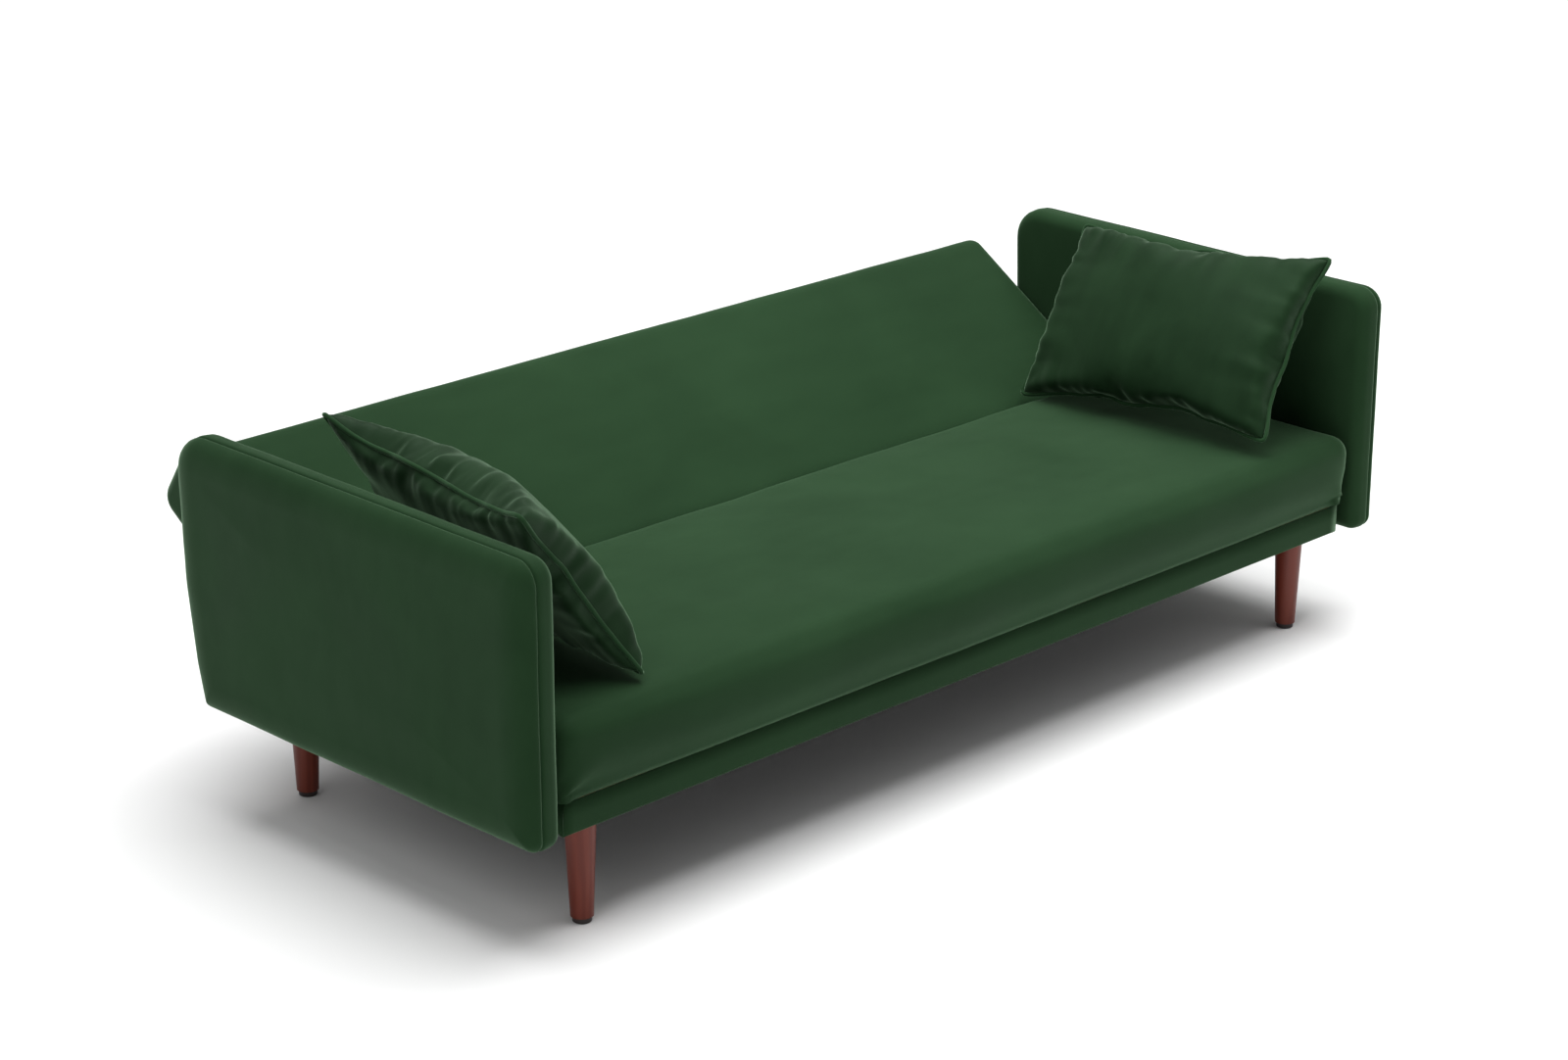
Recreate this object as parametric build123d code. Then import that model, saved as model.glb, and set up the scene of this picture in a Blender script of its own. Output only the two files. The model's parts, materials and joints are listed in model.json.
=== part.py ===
from build123d import *
import math
import os

# ---------------------------------------------------------------- overall sizes, mm
overall_length = 2120.0
leg_height = 180.0
rail_height = 55.0
seat_height = 141.0
pivot_above_seat_frame = 73.0
arm_height = 462.0
arm_thickness = 75.0
recline_rest_deg = 34.2
recline_flat_deg = 0.0
recline_upright_deg = 76.0

# ---------------------------------------------------------------- shared clearances
skin = 3.0
gap = 0.3
running_clearance = 0.08
bolt_clearance = 0.2

# ---------------------------------------------------------------- lengths along the sofa
seat_end_gap = 7.0
back_end_gap = 10.0
rail_end_gap = 25.0
arm_outer_x = overall_length / 2
arm_inner_x = arm_outer_x - arm_thickness
seat_half = arm_inner_x - seat_end_gap
back_half = arm_inner_x - back_end_gap
rail_half_length = arm_inner_x - rail_end_gap

# ---------------------------------------------------------------- heights
rail_bottom_z = leg_height + skin
rail_top_z = leg_height + rail_height
seat_bottom_z = rail_top_z
seat_top_z = seat_bottom_z + seat_height
pivot_z = seat_bottom_z + pivot_above_seat_frame
arm_bottom_z = leg_height + 5.0
arm_rear_top_z = arm_bottom_z + arm_height
arm_front_top_z = arm_rear_top_z - 9.0

# ---------------------------------------------------------------- base frame
rail_front_y = -47.0
rail_rear_y = 729.0
rail_thickness = 25.0
rail_lip = 12.0
cross_rail_y = 470.0
block_size = 90.0
block_top_z = rail_top_z - 5.0
dust_cloth_thickness = 1.0

# ---------------------------------------------------------------- legs
leg_x = rail_half_length - 73.6
leg_front_y = 0.0
leg_rear_y = 681.9
leg_top_radius = 25.5
leg_foot_radius = 18.5
glide_radius = 15.5
glide_height = 10.0
glide_edge = 2.0
glide_pin_radius = 2.0
glide_pin_length = 15.0
stud_radius = 4.9
stud_bottom_z = leg_height - 50.0
stud_top_z = leg_height + 45.0
plate_size = 70.0
plate_screw_x = 30.0
plate_screw_y = 17.0
plate_screw_radius = 2.0
plate_screw_head = 4.0
plate_screw_head_height = 1.5
plate_screw_length = 22.0

# ---------------------------------------------------------------- seat
seat_front_y = -72.0
seat_rear_y = 513.0
seat_corner_radius = 28.0
board_width = 50.0
seat_board_height = 40.0
seat_board_top_z = seat_bottom_z + seat_board_height
seat_frame_front_y = -46.0
seat_frame_inner_front_y = -10.0
seat_frame_rear_y = 507.0
seat_front_board_half = rail_half_length - 16.0
hinge_notch_y = 400.0
hinge_notch_z = seat_bottom_z + 50.0
spring_first_x = 120.0
spring_pitch = 140.0
spring_end_margin = 110.0
spring_wire_radius = 1.8
spring_bend_radius = 15.0
spring_half_straight = 10.0
spring_runs = 16
spring_drop = 9.0
clip_width = 16.0
clip_height = 6.0
clip_reach = 10.0
clip_gap = 0.1
seat_screw_spacing = rail_half_length * 2 / 3
seat_screw_x = (-seat_screw_spacing, 0.0, seat_screw_spacing)
seat_screw_radius = 4.0
seat_screw_head_radius = 7.5
seat_screw_head_height = 6.0
seat_screw_sink = 12.0
seat_screw_bottom_z = leg_height + 18.0

# ---------------------------------------------------------------- arms
arm_seam_x = arm_inner_x + 40.0
arm_front_y = -74.0
arm_rear_points = (
    (784.0, arm_rear_top_z),
    (775.0, arm_bottom_z + 215.0),
    (748.0, arm_bottom_z + 77.0),
    (724.0, arm_bottom_z),
)
arm_top_front_radius = 45.0
arm_bottom_front_radius = 26.0
arm_top_rear_radius = 68.0
arm_bottom_rear_radius = 34.0
arm_outer_edge_radius = 22.0
arm_inner_edge_radius = 14.0
arm_core_inset = 12.0
arm_core_inner_x = arm_inner_x + 8.0
arm_core_outer_x = arm_inner_x + 33.0
arm_bolt_y = (110.0, 340.0, 570.0)
arm_bolt_z = leg_height + 32.0
arm_bolt_radius = 4.0
arm_bolt_head_radius = 10.0
arm_bolt_head_height = 8.0
arm_spacer_radius = 14.0

# ---------------------------------------------------------------- backrest, in its own flat axes
pivot_y = 576.0
back_reach = 395.0
back_half_thickness = 62.0
back_corner_radius = 38.0
back_board_rear = 6.0 - back_half_thickness
back_board_front = back_board_rear + 34.0
back_bottom_board = (5.0, 65.0)
back_top_board = (back_reach - 90.0, back_reach - 40.0)
back_bottom_board_half = rail_half_length - 5.0
strap_first_x = 120.0
strap_pitch = 220.0
strap_end_margin = 60.0
strap_width = 60.0
strap_thickness = 2.0
rear_cloth_s = (3.0, back_reach - 44.0)
rear_cloth_half = back_bottom_board_half
rear_opening_inset = 6.0

# ---------------------------------------------------------------- recliner hinge
notch_x = rail_half_length - gap
hinge_arm_x = (rail_half_length, rail_half_length + 4.0)
pawl_x = (hinge_arm_x[0] + 0.5, hinge_arm_x[1] - 0.5)
seat_plate_x = (hinge_arm_x[1] + 1.0, hinge_arm_x[1] + 5.0)
pin_head_x = (seat_plate_x[1], seat_plate_x[1] + 5.0)
pin_radius = 6.0
pin_head_radius = 10.0
sector_radius = 40.0
sector_hub_top = 30.0
sector_hub_bottom = -38.0
hinge_arm_start = 60.0
hinge_arm_end = 250.0
hinge_arm_h = (back_board_rear, back_board_rear + 32.0)
hinge_arm_screws = (95.0, 160.0, 225.0)
hinge_screw_radius = 3.0
hinge_screw_head_radius = 6.0
hinge_screw_head_height = 3.0
hinge_screw_depth = 25.0
plate_ring_radius = 18.0
plate_foot_y = (405.0, 500.0)
plate_foot_z = (seat_bottom_z + 5.0, seat_bottom_z + 35.0)
plate_neck_y = (492.0, 500.0)
plate_neck_z = (seat_bottom_z + 5.0, seat_bottom_z + 27.0)
plate_boss_end_y = 455.0
plate_screws_y = (418.0, 442.0)
plate_screws_z = seat_bottom_z + 21.0
pawl_pivot = (pivot_y - 90.0, pivot_z - 46.0)
pawl_stud_radius = 4.0
pawl_boss_radius = 8.0
pawl_half_height = 4.0
pawl_end_y = 561.0
pawl_tooth_angle = 250.0
pawl_tooth_half_width = 3.5
pawl_tip_clearance = 0.5
pawl_tooth_root_radius = 50.0
pawl_engaged_deg = 4.5
notch_margin = 0.5

# ---------------------------------------------------------------- loose pillows
pillow_length = 545.0
pillow_height = 354.0
pillow_front_bulge = 72.0
pillow_rear_bulge = 40.0
pillow_steps = (1.0, 0.97, 0.9, 0.78, 0.62, 0.44, 0.24)
pillow_bulge_power = 2.0
pillow_bulge_root = 0.8
pillow_side_rate = 0.8
pillow_corner_radius = 14.0
pillow_corner_growth = 60.0
pillow_radius_margin = 1.0
pillow_piping_radius = 3.6
right_pillow_centre = (arm_inner_x - 147.0, 254.0, seat_top_z + 162.4)
right_pillow_along = (21.0, -559.0, 28.0)
right_pillow_up = (206.0, 23.0, 285.0)
left_pillow_centre = (149.0 - arm_inner_x, 266.0, seat_top_z + 154.9)
left_pillow_along = (-85.0, -534.0, 5.0)
left_pillow_up = (-198.0, 34.0, 290.0)

# ---------------------------------------------------------------- derived values
recline_rest = math.radians(recline_rest_deg)
back_corner_s = back_reach - back_corner_radius
back_corner_h = back_half_thickness - back_corner_radius
rear_extent_y = (
    pivot_y
    + back_corner_s * math.cos(recline_rest)
    + back_corner_h * math.sin(recline_rest)
    + back_corner_radius
)
middle_y = (arm_front_y + rear_extent_y) / 2
seat_frame_inner_y = (seat_frame_inner_front_y, seat_frame_rear_y - board_width)
back_place = Pos(0, pivot_y, pivot_z) * Rot(recline_rest_deg, 0, 0)

os.makedirs("parts", exist_ok=True)


def save(node, *solids):
    """Write one node, moved so that the origin is under the middle of the sofa."""
    placed = [Pos(0, -middle_y, 0) * solid for solid in solids]
    export_step(placed[0] if len(placed) == 1 else Compound(placed), f"parts/{node}.step")


def block(x, y, z):
    """A box between three pairs of limits."""
    size = [limits[1] - limits[0] for limits in (x, y, z)]
    middle = [(limits[0] + limits[1]) / 2 for limits in (x, y, z)]
    return Pos(*middle) * Box(*size)


def rod(radius, start, length, direction):
    """A round bar from a point along an axis direction."""
    return extrude(Plane(start, z_dir=direction) * Circle(radius), length)


def up_rod(radius, x, y, z0, z1):
    return rod(radius, (x, y, z0), z1 - z0, (0, 0, 1))


def side_rod(radius, x0, x1, y, z):
    return rod(radius, (x0, y, z), x1 - x0, (1, 0, 0))


def side_plate(outline, x0, x1):
    """A plate whose outline is drawn looking along X, as (y, z)."""
    return extrude(Plane.YZ.offset(x0) * outline, x1 - x0)


def mirrored(shape):
    return mirror(shape, Plane.YZ)


def save_pair(node, shape):
    save(f"right_{node}", shape)
    save(f"left_{node}", mirrored(shape))


def near(vertices, *point):
    """The sketch corner nearest to a point."""
    return vertices.sort_by_distance(point)[0]


# ================================================================ base
leg_places = [(x, y) for y in (leg_front_y, leg_rear_y) for x in (-leg_x, leg_x)]
leg_names = ("front_left", "front_right", "rear_left", "rear_right")
rail_z = (rail_bottom_z, rail_top_z)
inner_half = rail_half_length - rail_thickness
inner_front_y = rail_front_y + rail_thickness
inner_rear_y = rail_rear_y - rail_thickness


def arm_bolt_holes(x0, x1):
    """Clearance holes of the arm bolts between two planes."""
    radius = arm_bolt_radius + bolt_clearance
    return [side_rod(radius, x0, x1, y, arm_bolt_z) for y in arm_bolt_y]


def rails():
    whole = (-rail_half_length, rail_half_length)
    front = block(whole, (rail_front_y, inner_front_y), rail_z)
    rear = block(whole, (inner_rear_y, rail_rear_y), rail_z)
    side = block((inner_half, rail_half_length), (inner_front_y, inner_rear_y), rail_z)
    for hole in arm_bolt_holes(inner_half, rail_half_length):
        side -= hole
    cross_y = (cross_rail_y, cross_rail_y + rail_thickness)
    cross = block((-inner_half, inner_half), cross_y, rail_z)
    for x in seat_screw_x:
        radius = seat_screw_radius + bolt_clearance
        middle = rail_front_y + rail_thickness / 2
        front -= up_rod(radius, x, middle, seat_screw_bottom_z, rail_top_z)
        cross -= up_rod(radius, x, cross_rail_y + rail_thickness / 2, seat_screw_bottom_z, rail_top_z)
    save("front_rail", front)
    save("rear_rail", rear)
    save("side_rails", side, mirrored(side))
    save("cross_rail", cross)


def rail_wall(x, y, lip_x, lip_y):
    """Fabric on one rail face with a turned-in bottom lip."""
    wall = block(x, y, (leg_height, rail_top_z - gap))
    return wall + block(lip_x, lip_y, (leg_height, rail_bottom_z - gap))


def rail_covers():
    outer = rail_half_length + skin
    whole = (-outer, outer)
    lip_x = (-rail_half_length, rail_half_length)
    face = rail_front_y - skin
    front = rail_wall(whole, (face, rail_front_y - gap), lip_x, (face, face + rail_lip))
    face = rail_rear_y + skin
    rear = rail_wall(whole, (rail_rear_y + gap, face), lip_x, (face - rail_lip, face))
    span = (rail_front_y, rail_rear_y)
    lip_span = (rail_front_y + rail_lip, rail_rear_y - rail_lip)
    side_x = (rail_half_length + gap, outer)
    side = rail_wall(side_x, span, (outer - rail_lip, outer), lip_span)
    for hole in arm_bolt_holes(rail_half_length, outer):
        side -= hole
    save("front_rail_cover", front)
    save("rear_rail_cover", rear)
    save("side_rail_covers", side, mirrored(side))


def plate_area(x, y, margin):
    half = plate_size / 2 + margin
    return (x - half, x + half), (y - half, y + half)


def plate_screw_places(x, y):
    signs = ((-1, -1), (-1, 1), (1, -1), (1, 1))
    return [(x + i * plate_screw_x, y + j * plate_screw_y) for i, j in signs]


def corner_block(x, y):
    """Wooden block in a frame corner that the leg screws into."""
    outward = math.copysign(1, x)
    x_limits = sorted((outward * inner_half, outward * (inner_half - block_size)))
    if y == leg_front_y:
        y_limits = (inner_front_y, inner_front_y + block_size)
    else:
        y_limits = (inner_rear_y - block_size, inner_rear_y)
    solid = block(x_limits, y_limits, (rail_bottom_z, block_top_z))
    solid -= up_rod(stud_radius + bolt_clearance, x, y, rail_bottom_z, block_top_z)
    for sx, sy in plate_screw_places(x, y):
        top = rail_bottom_z + plate_screw_length
        solid -= up_rod(plate_screw_radius + bolt_clearance, sx, sy, rail_bottom_z, top)
    return solid


def leg_plate(x, y):
    solid = block(*plate_area(x, y, 0), (leg_height, rail_bottom_z))
    solid -= up_rod(stud_radius + bolt_clearance, x, y, leg_height, rail_bottom_z)
    for sx, sy in plate_screw_places(x, y):
        solid -= up_rod(plate_screw_radius + bolt_clearance, sx, sy, leg_height, rail_bottom_z)
    return solid


def plate_screw(x, y):
    head_z = leg_height - plate_screw_head_height
    head = up_rod(plate_screw_head, x, y, head_z, leg_height)
    return head + up_rod(plate_screw_radius, x, y, leg_height, leg_height + plate_screw_length)


def leg(x, y):
    """Tapered round leg with a stud hole above and a glide nail hole below."""
    height = leg_height - glide_height
    solid = Pos(x, y, glide_height + height / 2) * Cone(leg_foot_radius, leg_top_radius, height)
    solid -= up_rod(stud_radius + bolt_clearance / 2, x, y, stud_bottom_z - gap, leg_height)
    nail_top = glide_height + glide_pin_length + gap
    return solid - up_rod(glide_pin_radius + bolt_clearance / 2, x, y, glide_height, nail_top)


def glide(x, y):
    pad = up_rod(glide_radius, x, y, 0, glide_height)
    pad = fillet(pad.edges().group_by(Axis.Z)[0], glide_edge)
    return pad + up_rod(glide_pin_radius, x, y, glide_height, glide_height + glide_pin_length)


def dust_cloth():
    inset = rail_lip + gap
    half = rail_half_length - inset
    top = rail_bottom_z - gap
    y_limits = (rail_front_y + inset, rail_rear_y - inset)
    sheet = block((-half, half), y_limits, (top - dust_cloth_thickness, top))
    for x, y in leg_places:
        sheet -= block(*plate_area(x, y, gap), (leg_height, rail_bottom_z))
    return sheet


def base():
    rails()
    rail_covers()
    save("corner_blocks", *[corner_block(x, y) for x, y in leg_places])
    save("leg_plates", *[leg_plate(x, y) for x, y in leg_places])
    save("leg_studs", *[up_rod(stud_radius, x, y, stud_bottom_z, stud_top_z) for x, y in leg_places])
    screws = [plate_screw(sx, sy) for x, y in leg_places for sx, sy in plate_screw_places(x, y)]
    save("leg_plate_screws", *screws)
    save("dust_cloth", dust_cloth())
    for name, (x, y) in zip(leg_names, leg_places):
        save(f"{name}_leg", leg(x, y))
    save("foot_glides", *[glide(x, y) for x, y in leg_places])


# ================================================================ seat
def seat_block(inset, bottom_z, radius):
    """The seat cushion shape, smaller by an inset, with rounded top and corners."""
    half = seat_half - inset
    y_limits = (seat_front_y + inset, seat_rear_y - inset)
    solid = block((-half, half), y_limits, (bottom_z, seat_top_z - inset))
    rounded = solid.edges().filter_by(Axis.Z) + solid.edges().group_by(Axis.Z)[-1]
    return fillet(rounded, radius)


def hinge_notches(inner_x, y0, z1):
    """Space left at both rear corners for the hinge plates."""
    beyond = seat_half + skin
    notch = block((inner_x, beyond), (y0, seat_rear_y + skin), (0, z1))
    return [notch, mirrored(notch)]


def seat_screw(x, y):
    floor_z = seat_board_top_z - seat_screw_sink
    shank = up_rod(seat_screw_radius, x, y, seat_screw_bottom_z, floor_z)
    return shank + up_rod(seat_screw_head_radius, x, y, floor_z, floor_z + seat_screw_head_height)


def seat_screw_hole(x, y):
    floor_z = seat_board_top_z - seat_screw_sink
    shank = up_rod(seat_screw_radius + bolt_clearance, x, y, seat_bottom_z, floor_z)
    return shank + up_rod(seat_screw_head_radius + bolt_clearance, x, y, floor_z, seat_board_top_z)


def seat_frame():
    z = (seat_bottom_z, seat_board_top_z)
    whole = (-rail_half_length, rail_half_length)
    inner_y = seat_frame_inner_y
    front_x = (-seat_front_board_half, seat_front_board_half)
    front = block(front_x, (seat_frame_front_y, inner_y[0]), z)
    rear = block(whole, (inner_y[1], seat_frame_rear_y), z)
    screws = []
    for x in seat_screw_x:
        front_y = rail_front_y + rail_thickness / 2
        rear_y = cross_rail_y + rail_thickness / 2
        front -= seat_screw_hole(x, front_y)
        rear -= seat_screw_hole(x, rear_y)
        screws += [seat_screw(x, front_y), seat_screw(x, rear_y)]
    side = block((rail_half_length - board_width, rail_half_length), inner_y, z)
    for y in plate_screws_y:
        start = rail_half_length - hinge_screw_depth - gap
        side -= side_rod(hinge_screw_radius + bolt_clearance, start, rail_half_length, y, plate_screws_z)
    centre = block((-board_width / 2, board_width / 2), inner_y, z)
    save("seat_frame_front", front)
    save("seat_frame_rear", rear)
    save("seat_frame_sides", side, mirrored(side))
    save("seat_frame_centre", centre)
    save("seat_frame_screws", *screws)


def spring_path(y0):
    """Zigzag centre line of one sinuous spring, running towards +Y."""
    edges = []
    side = 1
    for run in range(spring_runs):
        y = y0 + 2 * spring_bend_radius * run
        start = Vector(-side * spring_half_straight, y)
        end = Vector(side * spring_half_straight, y)
        edges.append(Line(start, end))
        if run < spring_runs - 1:
            tip = Vector(side * (spring_half_straight + spring_bend_radius), y + spring_bend_radius)
            after = Vector(side * spring_half_straight, y + 2 * spring_bend_radius)
            edges.append(ThreePointArc(end, tip, after))
        side = -side
    return Wire(edges)


def spaced(first, pitch, end_margin):
    """Places either side of the middle, a pitch apart, up to a margin from the rail's end."""
    count = int((rail_half_length - first - end_margin) // pitch) + 1
    return [side * (first + pitch * i) for i in range(count) for side in (-1, 1)]


def seat_springs():
    inner_y = seat_frame_inner_y
    length = 2 * spring_bend_radius * (spring_runs - 1)
    y0 = (inner_y[0] + inner_y[1] - length) / 2
    path = spring_path(y0)
    section = Plane(path @ 0, z_dir=path % 0) * Circle(spring_wire_radius)
    z = seat_board_top_z - spring_drop
    wire = Pos(0, 0, z) * sweep(section, path=path)
    columns = spaced(spring_first_x, spring_pitch, spring_end_margin)
    save("seat_springs", *[Pos(x, 0, 0) * wire for x in columns])
    top = z - spring_wire_radius - clip_gap
    clip_z = (top - clip_height, top)
    half = clip_width / 2
    front = block((-half, half), (inner_y[0], inner_y[0] + clip_reach), clip_z)
    rear = block((-half, half), (inner_y[1] - clip_reach, inner_y[1]), clip_z)
    save("spring_clips", *[Pos(x, 0, 0) * clip for x in columns for clip in (front, rear)])


def seat_soft_parts():
    cover = seat_block(0, seat_bottom_z + gap, seat_corner_radius)
    cover -= seat_block(skin, seat_bottom_z - skin, seat_corner_radius - skin)
    foam_inset = skin + gap
    foam = seat_block(foam_inset, seat_board_top_z + gap, seat_corner_radius - foam_inset)
    for notch in hinge_notches(notch_x, hinge_notch_y, hinge_notch_z):
        cover -= notch
    for notch in hinge_notches(notch_x - gap, hinge_notch_y - gap, hinge_notch_z + gap):
        foam -= notch
    save("seat_cover", cover)
    save("seat_foam", foam)
    z = (seat_bottom_z + gap, seat_board_top_z)
    half = seat_half - seat_corner_radius
    front_y = (seat_front_y + foam_inset, seat_frame_front_y - gap)
    front = block((-half, half), front_y, z)
    side_x = (rail_half_length + gap, seat_half - foam_inset)
    side = block(side_x, (seat_front_y + seat_corner_radius, hinge_notch_y - gap), z)
    save("seat_edge_foam", front, side, mirrored(side))


def seat():
    seat_frame()
    seat_springs()
    seat_soft_parts()


# ================================================================ arms
def arm_outline(inset):
    """Side view of an arm as (y, z)."""
    points = [(arm_front_y, arm_bottom_z), (arm_front_y, arm_front_top_z), *arm_rear_points]
    sketch = make_face(Polyline(*points, close=True))
    corners = (
        (points[0], arm_bottom_front_radius),
        (points[1], arm_top_front_radius),
        (points[2], arm_top_rear_radius),
        (points[-1], arm_bottom_rear_radius),
    )
    for point, radius in corners:
        sketch = fillet(near(sketch.vertices(), *point, 0), radius)
    return offset(sketch, -inset) if inset else sketch


def edges_at_x(solid, x):
    return solid.edges().filter_by_position(Axis.X, x - gap, x + gap)


def arm():
    core = side_plate(arm_outline(arm_core_inset), arm_core_inner_x, arm_core_outer_x)
    wrap = side_plate(arm_outline(0), arm_inner_x, arm_seam_x)
    wrap = fillet(edges_at_x(wrap, arm_inner_x), arm_inner_edge_radius)
    wrap -= side_plate(arm_outline(arm_core_inset - gap), arm_core_inner_x - gap, arm_seam_x)
    pad = side_plate(arm_outline(0), arm_seam_x + gap, arm_outer_x)
    pad = fillet(edges_at_x(pad, arm_outer_x), arm_outer_edge_radius)
    pad += side_plate(arm_outline(arm_core_inset + gap), arm_core_outer_x + gap, arm_seam_x + 2 * gap)
    for hole in arm_bolt_holes(arm_inner_x, arm_core_outer_x):
        core -= hole
        wrap -= hole
    save_pair("arm_core", core)
    save_pair("arm_wrap", wrap)
    save_pair("arm_outer_pad", pad)


def arm_fixings():
    bolts = []
    spacers = []
    spacer_x = (rail_half_length + skin, arm_inner_x - gap)
    for y in arm_bolt_y:
        head_x = inner_half - arm_bolt_head_height
        bolt = side_rod(arm_bolt_head_radius, head_x, inner_half, y, arm_bolt_z)
        bolt += side_rod(arm_bolt_radius, inner_half, arm_core_outer_x - gap, y, arm_bolt_z)
        spacer = side_rod(arm_spacer_radius, *spacer_x, y, arm_bolt_z)
        spacer -= side_rod(arm_bolt_radius + bolt_clearance, *spacer_x, y, arm_bolt_z)
        bolts += [bolt, mirrored(bolt)]
        spacers += [spacer, mirrored(spacer)]
    save("arm_bolts", *bolts)
    save("arm_spacers", *spacers)


# ================================================================ hinge
def polar(radius, degrees):
    angle = math.radians(degrees)
    return radius * math.cos(angle), radius * math.sin(angle)


def tooth_outline():
    """The pawl's tooth at rest, drawn about the recline pivot."""
    tip = sector_radius + pawl_tip_clearance
    middle = (tip + pawl_tooth_root_radius) / 2
    depth = pawl_tooth_root_radius - tip
    rectangle = Rectangle(depth, 2 * pawl_tooth_half_width)
    return Rot(0, 0, pawl_tooth_angle) * Pos(middle, 0) * rectangle


def turned_tooth(degrees, margin):
    """The tooth turned about the pawl's own pivot, drawn about the recline pivot."""
    x = pawl_pivot[0] - pivot_y
    y = pawl_pivot[1] - pivot_z
    tooth = offset(tooth_outline(), margin)
    return Pos(x, y) * Rot(0, 0, degrees) * Pos(-x, -y) * tooth


def sector_notch(back_deg):
    """Space the tooth sweeps as it drops in, in the backrest's own axes."""
    rest = turned_tooth(0, notch_margin)
    engaged = turned_tooth(pawl_engaged_deg + notch_margin, notch_margin)
    swept = make_hull(rest.edges() + engaged.edges())
    return Rot(0, 0, -back_deg) * swept


def hinge_arm():
    """Steel arm of the backrest with the three-notch sector, in flat axes."""
    neck = Polygon(
        (0, sector_hub_bottom),
        (hinge_arm_start, hinge_arm_h[0]),
        (hinge_arm_start, hinge_arm_h[1]),
        (0, sector_hub_top),
        align=None,
    )
    middle = (hinge_arm_start + hinge_arm_end) / 2
    height = hinge_arm_h[1] - hinge_arm_h[0]
    bar_h = (hinge_arm_h[0] + hinge_arm_h[1]) / 2
    bar = Pos(middle, bar_h) * Rectangle(hinge_arm_end - hinge_arm_start, height)
    outline = Circle(sector_radius) + neck + bar
    for back_deg in (recline_flat_deg, recline_rest_deg, recline_upright_deg):
        outline -= sector_notch(back_deg)
    outline -= Circle(pin_radius + running_clearance)
    for s in hinge_arm_screws:
        outline -= Pos(s, bar_h) * Circle(hinge_screw_radius + bolt_clearance)
    return side_plate(outline, *hinge_arm_x)


def hinge_screw(start_x, y, z):
    """Screw whose head bears on the plane start_x and whose shank runs inward."""
    head = side_rod(hinge_screw_head_radius, start_x, start_x + hinge_screw_head_height, y, z)
    shank_start = rail_half_length - hinge_screw_depth
    return head + side_rod(hinge_screw_radius, shank_start, start_x, y, z)


def span_rectangle(y, z):
    """A rectangle between two pairs of limits, drawn as (y, z)."""
    middle = [(limits[0] + limits[1]) / 2 for limits in (y, z)]
    return Pos(*middle) * Rectangle(y[1] - y[0], z[1] - z[0])


def seat_plate():
    """Fixed hinge plate with the mounting boss and the pawl's stud."""
    ring = Pos(pivot_y, pivot_z) * Circle(plate_ring_radius)
    neck = span_rectangle(plate_neck_y, plate_neck_z)
    outline = make_hull(ring.edges() + neck.edges()) + span_rectangle(plate_foot_y, plate_foot_z)
    plate = side_plate(outline, *seat_plate_x)
    boss_y = (plate_foot_y[0], plate_boss_end_y)
    plate += block((hinge_arm_x[0], seat_plate_x[0]), boss_y, plate_foot_z)
    plate += side_rod(pawl_stud_radius, pawl_x[0], seat_plate_x[0], *pawl_pivot)
    plate -= side_rod(pin_radius + running_clearance, *seat_plate_x, pivot_y, pivot_z)
    for y in plate_screws_y:
        radius = hinge_screw_radius + bolt_clearance
        plate -= side_rod(radius, hinge_arm_x[0], seat_plate_x[1], y, plate_screws_z)
    return plate


def pawl():
    """Pawl riding just clear of the sector's rim."""
    bar_y = (pawl_pivot[0] + pawl_end_y) / 2
    bar = Pos(bar_y, pawl_pivot[1]) * Rectangle(pawl_end_y - pawl_pivot[0], 2 * pawl_half_height)
    outline = bar + Pos(*pawl_pivot) * Circle(pawl_boss_radius)
    outline += Pos(pivot_y, pivot_z) * tooth_outline()
    outline -= Pos(*pawl_pivot) * Circle(pawl_stud_radius + running_clearance)
    return side_plate(outline, *pawl_x)


def hinge():
    save_pair("hinge_arm", back_place * hinge_arm())
    save_pair("seat_hinge_plate", seat_plate())
    save_pair("pawl", pawl())
    pin = side_rod(pin_radius, hinge_arm_x[0] + gap, seat_plate_x[1], pivot_y, pivot_z)
    pin += side_rod(pin_head_radius, *pin_head_x, pivot_y, pivot_z)
    save("pivot_pins", pin, mirrored(pin))
    screws = [hinge_screw(seat_plate_x[1], y, plate_screws_z) for y in plate_screws_y]
    save("hinge_plate_screws", *screws, *[mirrored(screw) for screw in screws])
    bar_h = (hinge_arm_h[0] + hinge_arm_h[1]) / 2
    screws = [back_place * hinge_screw(hinge_arm_x[1], s, bar_h) for s in hinge_arm_screws]
    save("hinge_arm_screws", *screws, *[mirrored(screw) for screw in screws])


# ================================================================ backrest
def back_outline(inset):
    """Section of the backrest as (along, through), half round about the pivot."""
    half = back_half_thickness - inset
    end = back_reach - inset
    body = Pos(end / 2, 0) * Rectangle(end, 2 * half)
    corners = body.vertices().group_by(Axis.X)[-1]
    body = fillet(corners, back_corner_radius - inset)
    return body + Circle(half)


def back_solid(inset, end_inset):
    half = back_half - end_inset
    return side_plate(back_outline(inset), -half, half)


def end_notches(inner_x, to_s):
    """Space for the hinge at both ends of the lower edge."""
    beyond = back_half + skin
    low = -2 * back_half_thickness
    notch = block((inner_x, beyond), (low, to_s), (low, -low))
    return [notch, mirrored(notch)]


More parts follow.
